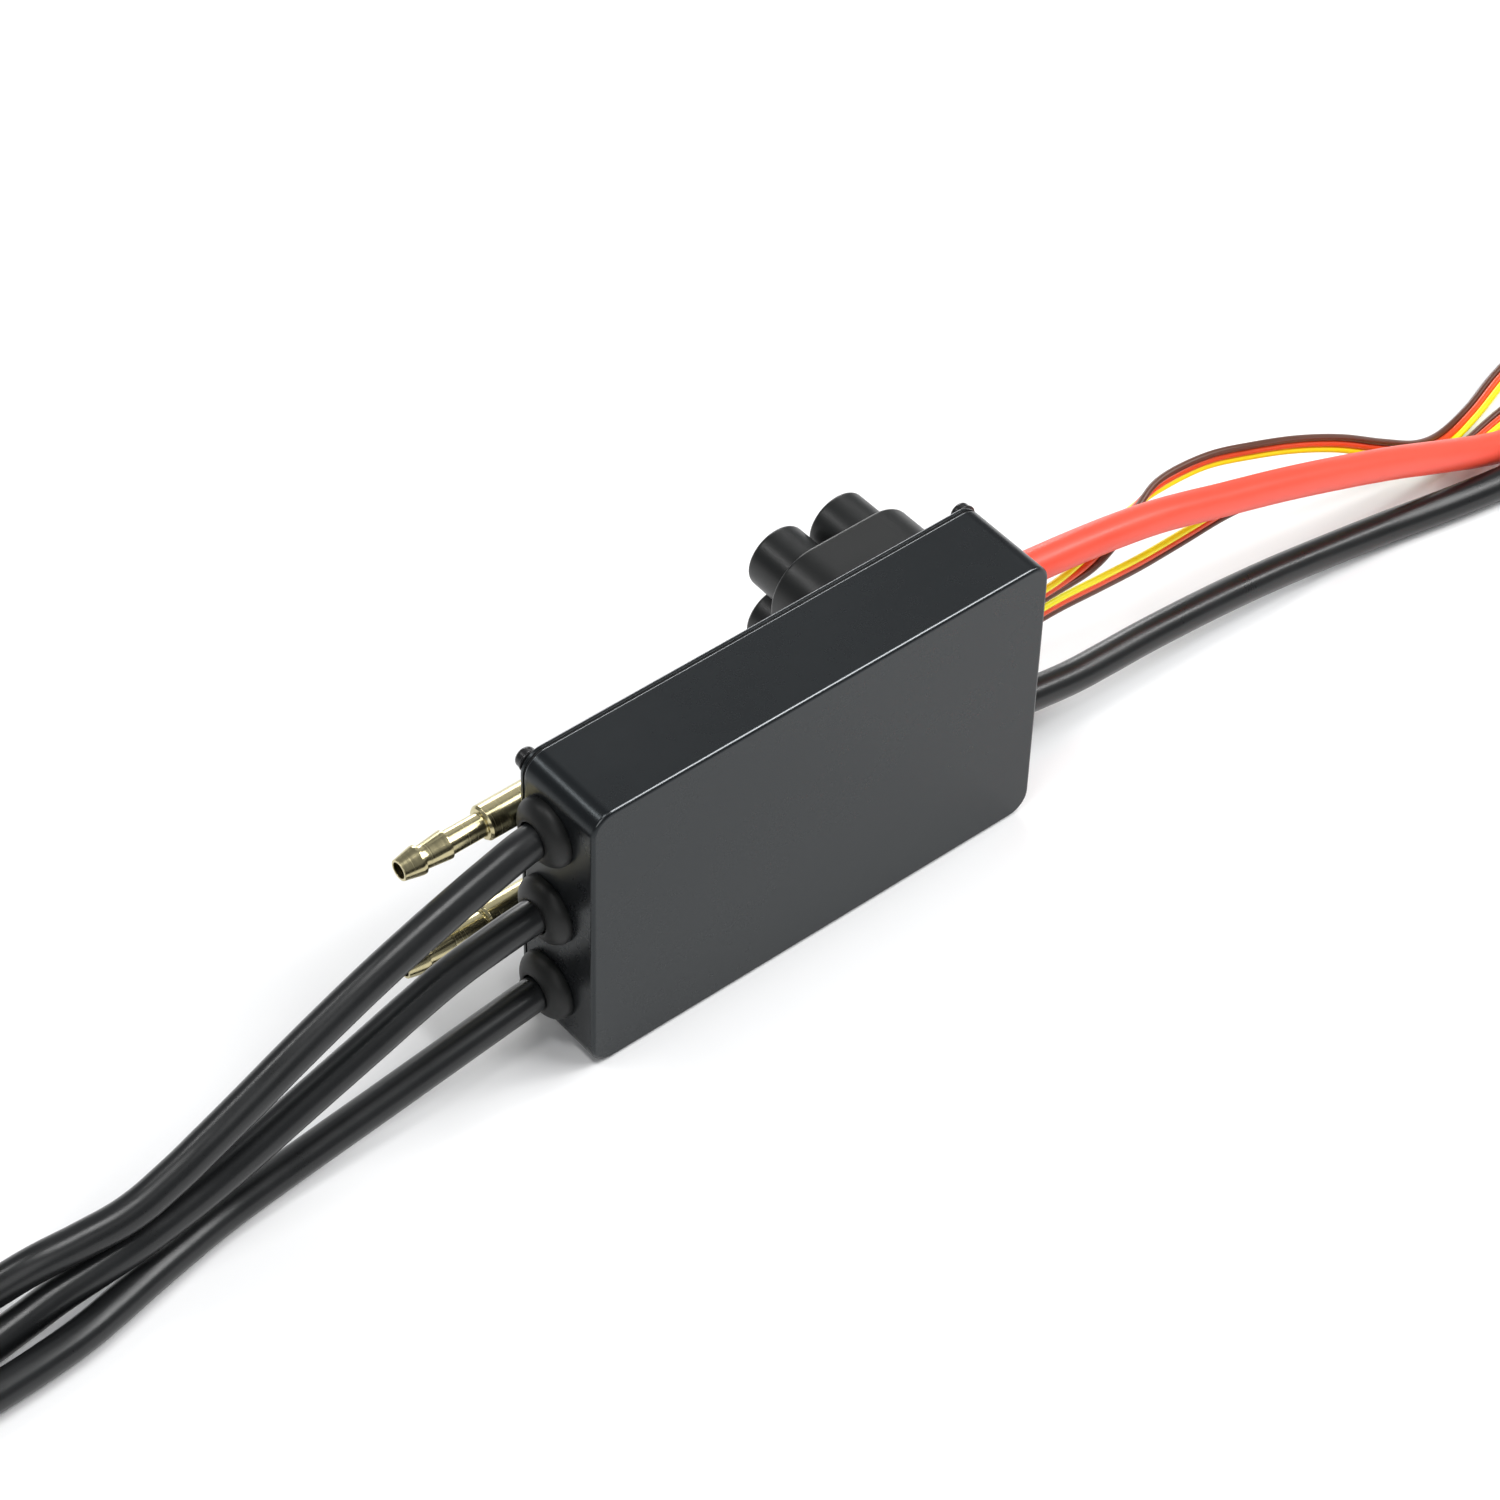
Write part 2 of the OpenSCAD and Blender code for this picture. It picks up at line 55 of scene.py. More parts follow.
# Origin of the measuring frame used below, in millimetres: the case's low corner, a
# little behind its broad front face
FRONT = -0.6
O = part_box("case_body")[0] - Vector((0, FRONT * MM, 0))
CASE_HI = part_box("case_body")[1]
LID_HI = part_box("lid_plate")[1]
L = round((CASE_HI.x - O.x) / MM, 3)
W = round((CASE_HI.z - O.z) / MM, 3)
T = round((LID_HI.y - O.y) / MM, 3)
TUB = round((CASE_HI.y - O.y) / MM, 3)
LID_Y = round((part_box("lid_plate")[0].y - O.y) / MM, 3)


def P(x, y, z):
    return Vector((O.x + x * MM, O.y + y * MM, O.z + z * MM))


# ------------------------------------------------------------------ camera
cam_data = bpy.data.cameras.new("camera")
cam = bpy.data.objects.new("camera", cam_data)
coll.objects.link(cam)
right = Vector((0.772765, -0.634272, 0.023064))
down = Vector((-0.445719, -0.568194, -0.69173))
fwd = Vector((0.45185, 0.524265, -0.721788))
m = Matrix((right, -down, -fwd)).transposed().to_4x4()
m.translation = P(-309.584, -397.202, 602.18)
cam.matrix_world = m
cam_data.sensor_width = 36
cam_data.lens = 4684.92 / 1500 * 36
cam_data.clip_start = 0.01
cam_data.clip_end = 20
scene.camera = cam


# ------------------------------------------------------------------ materials
def new_mat(name):
    mat = bpy.data.materials.new(name)
    mat.use_nodes = True
    nt = mat.node_tree
    return mat, nt, nt.nodes["Principled BSDF"]


def node(nt, kind, **inputs):
    n = nt.nodes.new(kind)
    for k, v in inputs.items():
        n.inputs[k.replace("_", " ")].default_value = v
    return n


def coords(nt, sx=1.0, sy=1.0, sz=1.0):
    tc = nt.nodes.new("ShaderNodeTexCoord")
    mp = nt.nodes.new("ShaderNodeMapping")
    mp.inputs["Scale"].default_value = (sx, sy, sz)
    nt.links.new(tc.outputs["Object"], mp.inputs["Vector"])
    return mp.outputs["Vector"]


def noise(nt, vec, scale, detail=3.0, rough=0.5, distortion=0.0):
    n = node(nt, "ShaderNodeTexNoise", Scale=scale, Detail=detail, Roughness=rough, Distortion=distortion)
    nt.links.new(vec, n.inputs["Vector"])
    return n.outputs["Fac"]


def ramp(nt, fac, stops):
    r = nt.nodes.new("ShaderNodeValToRGB")
    el = r.color_ramp.elements
    while len(el) < len(stops):
        el.new(0.5)
    for e, (pos, col) in zip(el, stops):
        e.position = pos
        e.color = (*col, 1)
    nt.links.new(fac, r.inputs["Fac"])
    return r.outputs["Color"]


def spread(nt, fac, lo, hi, a=0.3, b=0.7):
    r = nt.nodes.new("ShaderNodeMapRange")
    r.inputs["From Min"].default_value = a
    r.inputs["From Max"].default_value = b
    r.inputs["To Min"].default_value = lo
    r.inputs["To Max"].default_value = hi
    nt.links.new(fac, r.inputs["Value"])
    return r.outputs["Result"]


def bump(nt, p, height, strength, distance, normal=None):
    b = node(nt, "ShaderNodeBump", Strength=strength, Distance=distance)
    nt.links.new(height, b.inputs["Height"])
    if normal is not None:
        nt.links.new(normal, b.inputs["Normal"])
    nt.links.new(b.outputs["Normal"], p.inputs["Normal"])
    return b.outputs["Normal"]


def two(c, k):
    return [tuple(x * (1 - k) for x in c), tuple(min(1.0, x * (1 + k)) for x in c)]


def finish(
    name, color, var=0.1, rough=(0.35, 0.45), metallic=0.0, grain=3000.0, bump_s=0.1, bump_d=2e-5,
    blotch=70.0, spec=0.5, coat=0.0, coat_rough=0.1, stretch=(1, 1, 1), sheen=0.0, ior=1.5, aniso=0.0,
):
    """Plain surface with colour drift, uneven gloss and a fine grain."""
    mat, nt, p = new_mat(name)
    vec = coords(nt, *stretch)
    big = noise(nt, vec, blotch, 4.0, 0.55)
    fine = noise(nt, vec, grain, 3.0, 0.6)
    lo, hi = two(color, var)
    nt.links.new(ramp(nt, big, [(0.3, lo), (0.7, hi)]), p.inputs["Base Color"])
    mixed = nt.nodes.new("ShaderNodeMix")
    mixed.data_type = "FLOAT"
    mixed.inputs["Factor"].default_value = 0.4
    nt.links.new(big, mixed.inputs["A"])
    nt.links.new(fine, mixed.inputs["B"])
    nt.links.new(spread(nt, mixed.outputs["Result"], rough[0], rough[1]), p.inputs["Roughness"])
    p.inputs["Metallic"].default_value = metallic
    p.inputs["Specular IOR Level"].default_value = spec
    p.inputs["IOR"].default_value = ior
    p.inputs["Coat Weight"].default_value = coat
    p.inputs["Coat Roughness"].default_value = coat_rough
    p.inputs["Sheen Weight"].default_value = sheen
    p.inputs["Anisotropic"].default_value = aniso
    bump(nt, p, fine, bump_s, bump_d)
    mat.diffuse_color = (*color, 1)
    return mat


def anodised(name, color, rough=(0.3, 0.4)):
    """Bead-blasted, black anodised aluminium: fine matt pits and a faint drift in gloss."""
    mat, nt, p = new_mat(name)
    vec = coords(nt)
    big = noise(nt, vec, 28.0, 5.0, 0.6)
    mid = noise(nt, vec, 420.0, 4.0, 0.6)
    vor = node(nt, "ShaderNodeTexVoronoi", Scale=5200.0)
    nt.links.new(vec, vor.inputs["Vector"])
    lo, hi = two(color, 0.14)
    nt.links.new(ramp(nt, big, [(0.3, lo), (0.72, hi)]), p.inputs["Base Color"])
    add = nt.nodes.new("ShaderNodeMath")
    add.operation = "MULTIPLY_ADD"
    add.inputs[1].default_value = 0.35
    nt.links.new(mid, add.inputs[0])
    nt.links.new(big, add.inputs[2])
    nt.links.new(spread(nt, add.outputs[0], rough[0], rough[1], 0.45, 0.95), p.inputs["Roughness"])
    p.inputs["Metallic"].default_value = 0.0
    p.inputs["Specular IOR Level"].default_value = 0.385
    p.inputs["Specular Tint"].default_value = (0.86, 0.955, 1.0, 1)
    n1 = bump(nt, p, vor.outputs["Distance"], 0.04, 0.8e-5)
    bump(nt, p, mid, 0.012, 1.0e-5, n1)
    mat.diffuse_color = (*color, 1)
    return mat


def turned(name, color, rough, lines, axis, strength=0.12, var=0.06, metallic=1.0):
    """Turned, plated metal: fine rings along the part's axis under a bright plate."""
    mat, nt, p = new_mat(name)
    s = [60.0, 60.0, 60.0]
    s["xyz".index(axis)] = lines
    vec = coords(nt, *s)
    rings = noise(nt, vec, 1.0, 2.0, 0.5)
    plain = coords(nt)
    big = noise(nt, plain, 260.0, 3.0, 0.5)
    lo, hi = two(color, var)
    nt.links.new(ramp(nt, big, [(0.3, lo), (0.7, hi)]), p.inputs["Base Color"])
    nt.links.new(spread(nt, rings, rough[0], rough[1]), p.inputs["Roughness"])
    p.inputs["Metallic"].default_value = metallic
    bump(nt, p, rings, strength, 6e-6)
    mat.diffuse_color = (*color, 1)
    return mat


def board(name):
    """Green solder mask over tracks, with a grid of plated holes."""
    mat, nt, p = new_mat(name)
    vec = coords(nt)
    br = node(nt, "ShaderNodeTexBrick", Scale=520.0)
    br.inputs["Color1"].default_value = (0.010, 0.085, 0.045, 1)
    br.inputs["Color2"].default_value = (0.014, 0.115, 0.060, 1)
    br.inputs["Mortar"].default_value = (0.020, 0.150, 0.080, 1)
    br.inputs["Mortar Size"].default_value = 0.03
    sw = nt.nodes.new("ShaderNodeMapping")
    sw.inputs["Rotation"].default_value = (math.radians(90), 0, 0)
    nt.links.new(vec, sw.inputs["Vector"])
    nt.links.new(sw.outputs["Vector"], br.inputs["Vector"])
    nt.links.new(br.outputs["Color"], p.inputs["Base Color"])
    nt.links.new(spread(nt, noise(nt, vec, 400.0), 0.22, 0.4), p.inputs["Roughness"])
    bump(nt, p, br.outputs["Fac"], 0.25, 2e-5)
    mat.diffuse_color = (0.01, 0.1, 0.05, 1)
    return mat


M = {
    "case_anodised": anodised("case_anodised", (0.0048, 0.0054, 0.0062), (0.24, 0.33)),
    "lid_anodised": anodised("lid_anodised", (0.0048, 0.0052, 0.0056), (0.24, 0.33)),
    "block_anodised": anodised("block_anodised", (0.0062, 0.0068, 0.0072), (0.28, 0.38)),
    "rubber_black": finish("rubber_black", (0.0056, 0.0060, 0.0056), 0.15, (0.42, 0.54), grain=2600.0, bump_s=0.08, bump_d=2e-5, spec=0.36),
    "gasket_black": finish("gasket_black", (0.008, 0.008, 0.008), 0.1, (0.6, 0.7)),
    # Painted highlight: a bright, near-metal copy of the case finish, laid only on the front-top bevel faces where the
    # lamp's highlight line falls.
    "bevel_painted_highlight": finish("bevel_painted_highlight", (0.118, 0.122, 0.126), 0.10, (0.2, 0.3), metallic=0.9, grain=3500.0, bump_s=0.03, bump_d=1e-5, blotch=160.0),
    # Painted highlight: a bright, near-metal copy of the case finish for the rim bevels at the lid seam.
    "rim_painted_highlight": finish("rim_painted_highlight", (0.085, 0.09, 0.095), 0.12, (0.13, 0.22), metallic=0.75, grain=3500.0, bump_s=0.03, bump_d=1e-5, blotch=160.0),
    "screw_black": finish("screw_black", (0.016, 0.016, 0.017), 0.15, (0.22, 0.34), metallic=0.3, grain=4000.0),
    "nickel_brass": turned("nickel_brass", (0.54, 0.48, 0.28), (0.16, 0.28), 5200.0, "x", 0.09),
    "zinc_steel": turned("zinc_steel", (0.62, 0.64, 0.66), (0.22, 0.36), 5000.0, "y"),
    "boot_black": finish("boot_black", (0.0058, 0.0064, 0.0062), 0.1, (0.33, 0.43), grain=2400.0, bump_s=0.10, bump_d=2.5e-5, blotch=90.0, spec=0.44),
    "capacitor_sleeve": finish("capacitor_sleeve", (0.02, 0.03, 0.09), 0.15, (0.15, 0.25)),
    "tinned_copper": finish("tinned_copper", (0.66, 0.655, 0.63), 0.12, (0.22, 0.42), metallic=1.0, grain=1800.0, bump_s=0.3, bump_d=4e-5, blotch=500.0),
    "pad_silicone": finish("pad_silicone", (0.32, 0.40, 0.52), 0.12, (0.6, 0.75), grain=1800.0, bump_s=0.3, bump_d=5e-5),
    "chip_black": finish("chip_black", (0.018, 0.018, 0.019), 0.2, (0.45, 0.6), grain=3000.0),
    "board_green": board("board_green"),
    "post_brass": turned("post_brass", (0.72, 0.53, 0.24), (0.2, 0.34), 4500.0, "y"),
    "bare_copper": finish("bare_copper", (0.72, 0.38, 0.22), 0.12, (0.25, 0.4), metallic=1.0, grain=2500.0),
    "ferrite_grey": finish("ferrite_grey", (0.045, 0.045, 0.048), 0.2, (0.5, 0.65), grain=1500.0, bump_s=0.3),
    "plug_black": finish("plug_black", (0.014, 0.014, 0.015), 0.15, (0.38, 0.5), grain=2200.0, bump_s=0.14),
    "wire_black": finish("wire_black", (0.0075, 0.0082, 0.0086), 0.12, (0.26, 0.36), grain=1900.0, bump_s=0.07, bump_d=2e-5, blotch=120.0),
    "wire_red": finish("wire_red", (0.88, 0.082, 0.044), 0.05, (0.34, 0.44), grain=1900.0, bump_s=0.07, bump_d=2e-5, blotch=120.0),
    "strand_yellow": finish("strand_yellow", (1.0, 0.88, 0.001), 0.03, (0.34, 0.44), grain=2400.0, bump_s=0.06, bump_d=1.5e-5, blotch=150.0),
    "strand_red": finish("strand_red", (0.80, 0.075, 0.012), 0.06, (0.28, 0.38), grain=2400.0, bump_s=0.06, bump_d=1.5e-5, blotch=150.0),
    "strand_brown": finish("strand_brown", (0.105, 0.034, 0.016), 0.10, (0.30, 0.42), grain=2400.0, bump_s=0.06, bump_d=1.5e-5, blotch=150.0),
    "contact_gold": finish("contact_gold", (0.85, 0.62, 0.22), 0.08, (0.18, 0.3), metallic=1.0),
}
M["lead_ribbon"] = M["strand_red"]
SLOT_OF = {s["node"]: s.get("material_slot") or s.get("slot") for s in frame["record"].get("subparts", [])}
for name, obj in frame["nodes"].items():
    mat = M.get(SLOT_OF.get(name)) or M["chip_black"]
    obj.data.materials.clear()
    obj.data.materials.append(mat)


# ------------------------------------------------------------------ mesh helpers
def link_mesh(name, verts, faces, mats, smooth=True, face_mats=None, body="root"):
    me = bpy.data.meshes.new(name)
    me.from_pydata([P(*v) for v in verts], [], faces)
    me.validate()
    for mt in mats if isinstance(mats, (list, tuple)) else [mats]:
        me.materials.append(mt)
    if face_mats:
        for poly, k in zip(me.polygons, face_mats):
            poly.material_index = k
    for poly in me.polygons:
        poly.use_smooth = smooth
    o = bpy.data.objects.new(name, me)
    coll.objects.link(o)
    bm = bmesh.new()
    bm.from_mesh(me)
    bmesh.ops.recalc_face_normals(bm, faces=bm.faces)
    bm.to_mesh(me)
    bm.free()
    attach(o, body)
    return o


def solidify_mods(o):
    """Bakes the modifiers into the mesh."""
    dg = bpy.context.evaluated_depsgraph_get()
    dg.update()
    me = bpy.data.meshes.new_from_object(o.evaluated_get(dg))
    o.modifiers.clear()
    old = o.data
    o.data = me
    bpy.data.meshes.remove(old)
    return o


def weighted(o, angle=35):
    """Flat faces stay flat, rounded edges stay round."""
    for e in o.data.edges:
        e.use_edge_sharp = False
    bm = bmesh.new()
    bm.from_mesh(o.data)
    lim = math.radians(angle)
    for e in bm.edges:
        if len(e.link_faces) == 2 and e.calc_face_angle(0) > lim:
            e.smooth = False
    for f in bm.faces:
        f.smooth = True
    bm.to_mesh(o.data)
    bm.free()
    w = o.modifiers.new("weighted", "WEIGHTED_NORMAL")
    w.keep_sharp = True
    w.weight = 80
    return o


def cutter(verts, faces):
    me = bpy.data.meshes.new("cut")
    me.from_pydata([P(*v) for v in verts], [], faces)
    bm = bmesh.new()
    bm.from_mesh(me)
    bmesh.ops.recalc_face_normals(bm, faces=bm.faces)
    bm.to_mesh(me)
    bm.free()
    o = bpy.data.objects.new("cut", me)
    coll.objects.link(o)
    return o


def cut(o, cutters):
    for c in cutters:
        b = o.modifiers.new("cut", "BOOLEAN")
        b.operation = "DIFFERENCE"
        b.solver = "EXACT"
        b.object = c
    solidify_mods(o)
    for c in cutters:
        me = c.data
        bpy.data.objects.remove(c)
        bpy.data.meshes.remove(me)
    return o


def prism(axis, a, b, pts):
    """Closed prism between a and b along an axis, from an outline in the other two axes."""
    def at(h, q):
        return {"x": (h, q[0], q[1]), "y": (q[0], h, q[1]), "z": (q[0], q[1], h)}[axis]

    n = len(pts)
    v = [at(a, q) for q in pts] + [at(b, q) for q in pts]
    f = [tuple(range(n)), tuple(range(2 * n - 1, n - 1, -1))]
    f += [(i, (i + 1) % n, n + (i + 1) % n, n + i) for i in range(n)]
    return v, f


def disc(u, v, r, n=48, turn=0.0):
    return [(u + r * math.cos(2 * math.pi * i / n + turn), v + r * math.sin(2 * math.pi * i / n + turn)) for i in range(n)]


def cyl_cut(axis, a, b, u, v, r, n=48, turn=0.0):
    return cutter(*prism(axis, a, b, disc(u, v, r, n, turn)))


def box_cut(lo, hi):
    return cutter(*prism("x", lo[0], hi[0], [(lo[1], lo[2]), (hi[1], lo[2]), (hi[1], hi[2]), (lo[1], hi[2])]))


def rr(x0, x1, z0, z1, r, n=10, inset=0.0):
    """Rounded rectangle, as points in two axes."""
    x0, x1, z0, z1, r = x0 + inset, x1 - inset, z0 + inset, z1 - inset, max(r - inset, 0.02)
    out = []
    for cx, cz, a0 in ((x1 - r, z1 - r, 0), (x0 + r, z1 - r, 90), (x0 + r, z0 + r, 180), (x1 - r, z0 + r, 270)):
        for k in range(n + 1):
            a = math.radians(a0 + 90 * k / n)
            out.append((cx + r * math.cos(a), cz + r * math.sin(a)))
    return out


def quarter(b, up, n=6):
    """(depth, inset) pairs of a rounded edge of radius b, from the flat face outwards if up."""
    out = []
    for k in range(n + 1):
        a = math.radians(90 * k / n)
        out.append((b * (1 - math.cos(a)), b * (1 - math.sin(a))))
    return out if up else out[::-1]


def loft(axis, rings, caps=(True, True)):
    """Stack of equal outlines along an axis: [(height, points), ...]."""
    n = len(rings[0][1])
    v, f = [], []
    for h, pts in rings:
        for q in pts:
            v.append({"x": (h, q[0], q[1]), "y": (q[0], h, q[1]), "z": (q[0], q[1], h)}[axis])
    for i in range(len(rings) - 1):
        for j in range(n):
            a, b = i * n + j, i * n + (j + 1) % n
            f.append((a, b, b + n, a + n))
    if caps[0]:
        f.append(tuple(range(n)))
    if caps[1]:
        f.append(tuple((len(rings) - 1) * n + k for k in range(n)))
    return v, f


def block(axis, h0, h1, outline, b0, b1, steps=5):
    """Rings of a solid slab whose two rims are rounded by b0 and b1. outline(inset) gives points."""
    rings = [(h0 + d, outline(i)) for d, i in quarter(b0, True, steps)]
    rings += [(h1 - d, outline(i)) for d, i in quarter(b1, False, steps)]
    return rings


def rounded(profile, closed=True, k=4):
    """Profile of (a, r, edge radius) with its corners eased."""
    n, out = len(profile), []
    for i, (a, r, rad) in enumerate(profile):
        if rad <= 0 or (not closed and i in (0, n - 1)):
            out.append((a, r))
            continue
        p = Vector((a, r))
        q0 = Vector(profile[i - 1][:2]) - p
        q1 = Vector(profile[(i + 1) % n][:2]) - p
        t = min(rad, 0.48 * q0.length, 0.48 * q1.length)
        s, e = p + q0.normalized() * t, p + q1.normalized() * t
        for j in range(k + 1):
            u = j / k
            w = s * (1 - u) ** 2 + p * 2 * u * (1 - u) + e * u * u
            out.append((w.x, w.y))
    return out


def lathe(name, axis, centre, profile, mat, seg=64, closed=True, cuts=(), smooth_angle=40, body="root"):
    """Turned solid about an axis through centre, from (position along axis, radius) points."""
    v, f = [], []
    n = len(profile)
    for a, r in profile:
        for j in range(seg):
            t = 2 * math.pi * j / seg
            u, w = r * math.cos(t), r * math.sin(t)
            c = centre
            v.append({"x": (a, c[0] + u, c[1] + w), "y": (c[0] + u, a, c[1] + w), "z": (c[0] + u, c[1] + w, a)}[axis])
    last = n if closed else n - 1
    for i in range(last):
        k = (i + 1) % n
        for j in range(seg):
            jj = (j + 1) % seg
            f.append((i * seg + j, i * seg + jj, k * seg + jj, k * seg + j))
    if not closed:
        f.append(tuple(range(seg)))
        f.append(tuple((n - 1) * seg + j for j in range(seg)))
    o = link_mesh(name, v, f, mat, body=body)
    if cuts:
        cut(o, list(cuts))
    return weighted(o, smooth_angle)


# ------------------------------------------------------------------ routes of the free wires (mm)
ROUTES = {
    "u": [(3.2, 11, 48.3), (-4, 11, 48.1), (-20, 11, 43.3), (-36, 11, 37.2), (-52, 11, 29.7), (-68, 10.9, 21.8), (-84, 10.8, 15.9), (-100, 14, 12.4), (-116, 17.6, 6.4), (-133, 18.6, 3.2), (-150, 18.6, 3.2)],
    "v": [(3.2, 11, 30.2), (-4, 11, 30.2), (-20, 11, 27.8), (-36, 11, 22.4), (-52, 10.9, 16.9), (-68, 10.5, 11.9), (-84, 9.7, 9.5), (-98, 10.8, 6.5), (-113, 11.2, 3.2), (-130, 11.2, 3.2), (-146, 11.2, 3.2)],
    "w": [(3.2, 11, 10.9), (-4, 11, 10.8), (-20, 10.7, 9.1), (-36, 10.6, 7), (-52, 10.4, 5.1), (-68, 9.8, 3.4), (-84, 7, 3.2), (-98, 4.2, 3.2), (-112, 3.2, 3.2), (-126, 3, 3.2), (-140, 3, 3.2)],
    "pos": [(94, 11, 46), (101, 11, 45.9), (117, 10.7, 44), (133, 10.5, 40.8), (149, 10.5, 35.5), (165, 10.5, 30.1), (181, 10.5, 24.1), (197, 10.5, 17.6), (213, 10.5, 10.4), (229, 10.5, 4.2), (245, 10.5, 3.2), (262, 10.5, 3.2)],
    "neg": [(94, 11, 13.7), (101, 11, 13.5), (117, 10.6, 11.3), (133, 10.5, 10.7), (149, 10.5, 9.4), (165, 10.5, 7.3), (181, 10.3, 4.6), (196, 8.8, 3.3), (211, 6, 3.2), (227, 3.6, 3.2), (243, 2.6, 3.2), (258, 2.6, 3.2)],
    "la": [(94, 11, 36.4, 0), (101, 11, 36.4, 0), (111, 11.1, 36.6, 0), (120, 12.3, 36.3, -40), (128, 14.7, 36.5, -90), (135.5, 17.4, 36.8, -140), (143, 18.8, 37.2, -180), (154, 18.8, 36.3, -180), (165, 18.2, 33, -180), (177, 18.2, 27.8, -180), (189, 18.2, 21.3, -180), (201, 18.2, 13.4, -180), (212, 18.6, 6.4, -200), (222, 20.4, 2.2, -240), (233, 23.4, 0.9, -270), (244, 27, 0.9, -270), (254, 29.2, 1.25, -270), (260, 29.2, 1.25, -270)],
    "lb": [(94, 11, 31.9, 0), (101, 11, 31.9, 0), (112, 11.3, 31.6, 0), (123, 12, 29.8, 0), (134, 13.1, 27.6, 0), (145, 13.8, 26.7, 0), (156, 14.1, 26.5, 0), (167, 14.4, 24.6, 0), (179, 14.8, 20.6, 0), (191, 14.8, 15, 0), (203, 14.8, 9.2, 0), (214, 15.2, 4.2, 20), (225, 16.8, 1.6, 70), (236, 18.8, 0.9, 90), (246, 19.8, 1.25, 90), (252, 19.8, 1.25, 90)],
}
WIRE_R, CORE_R = 3.1, 1.9


def smooth_route(pts, per, floor):
    """Catmull-Rom curve through the route's points, never lower than the floor allows."""
    q = [[2 * a - b for a, b in zip(pts[0], pts[1])], *pts, [2 * a - b for a, b in zip(pts[-1], pts[-2])]]
    out = []
    for i in range(1, len(q) - 2):
        for k in range(per):
            t = k / per
            out.append([0.5 * (2 * b + (c - a) * t + (2 * a - 5 * b + 4 * c - d) * t * t + (3 * b - a - 3 * c + d) * t ** 3) for a, b, c, d in zip(q[i - 1], q[i], q[i + 1], q[i + 2])])
    out.append(list(pts[-1]))
    for p in out:
        p[2] = max(p[2], floor)
    return out


def wire(name, route, mat, cad):
    pts = smooth_route(ROUTES[route], 2, WIRE_R + 0.02)
    cu = bpy.data.curves.new(name, "CURVE")
    cu.dimensions = "3D"
    cu.resolution_u = 8
    sp = cu.splines.new("BEZIER")
    sp.bezier_points.add(len(pts) - 1)
    for a, b in zip(sp.bezier_points, pts):
        a.co = P(*b[:3])
        a.handle_left_type = a.handle_right_type = "AUTO"
    sp.use_smooth = True
    cu.bevel_depth = WIRE_R * MM
    cu.bevel_resolution = 8
    cu.use_fill_caps = True
    cu.twist_mode = "MINIMUM"
    cu.materials.append(mat)
    o = bpy.data.objects.new(name, cu)
    coll.objects.link(o)
    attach(o, "root")
    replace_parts(o, cad)
    return o


def tip(name, route, sign, cad=None):
    """Tinned end: twisted strands showing as flutes, with a rounded solder end."""
    x, y, z = ROUTES[route][-1][:3]
    seg, rings, lobes = 112, 34, 14
    v, f = [], []
    for i in range(rings):
        s = i / (rings - 1)
        end = min(1.0, (1 - s) * 8 / 0.9)
        cap = math.sqrt(max(0.0, 1 - (1 - end) ** 2))
        for j in range(seg):
            t = 2 * math.pi * j / seg
            ph = lobes * t + 5.0 * s * math.pi
            flute = 0.13 * abs(math.cos(ph / 2)) * (1 - 0.75 * s ** 3)
            r = (1.73 + flute + 0.03 * math.sin(3 * t + 9 * s)) * (0.35 + 0.65 * cap)
            v.append((x + sign * 8 * s, y + r * math.cos(t), z + r * math.sin(t)))
    for i in range(rings - 1):
        for j in range(seg):
            jj = (j + 1) % seg
            f.append((i * seg + j, i * seg + jj, (i + 1) * seg + jj, (i + 1) * seg + j))
    f.append(tuple(range(seg)))
    f.append(tuple((rings - 1) * seg + j for j in range(seg)))
    return link_mesh(name, v, f, M["tinned_copper"])


phase_tips = [tip("tinned_end_u", "u", -1), tip("tinned_end_v", "v", -1), tip("tinned_end_w", "w", -1)]
bat_tips = [tip("tinned_end_positive", "pos", 1), tip("tinned_end_negative", "neg", 1)]
for t_ in phase_tips:
    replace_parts(t_, "phase_wire_tips")
for t_ in bat_tips:
    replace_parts(t_, "battery_wire_tips")
wire("wire_phase_u", "u", M["wire_black"], "phase_wire_u")
wire("wire_phase_v", "v", M["wire_black"], "phase_wire_v")
wire("wire_phase_w", "w", M["wire_black"], "phase_wire_w")
wire("wire_positive", "pos", M["wire_red"], "battery_wire_positive")
wire("wire_negative", "neg", M["wire_black"], "battery_wire_negative")


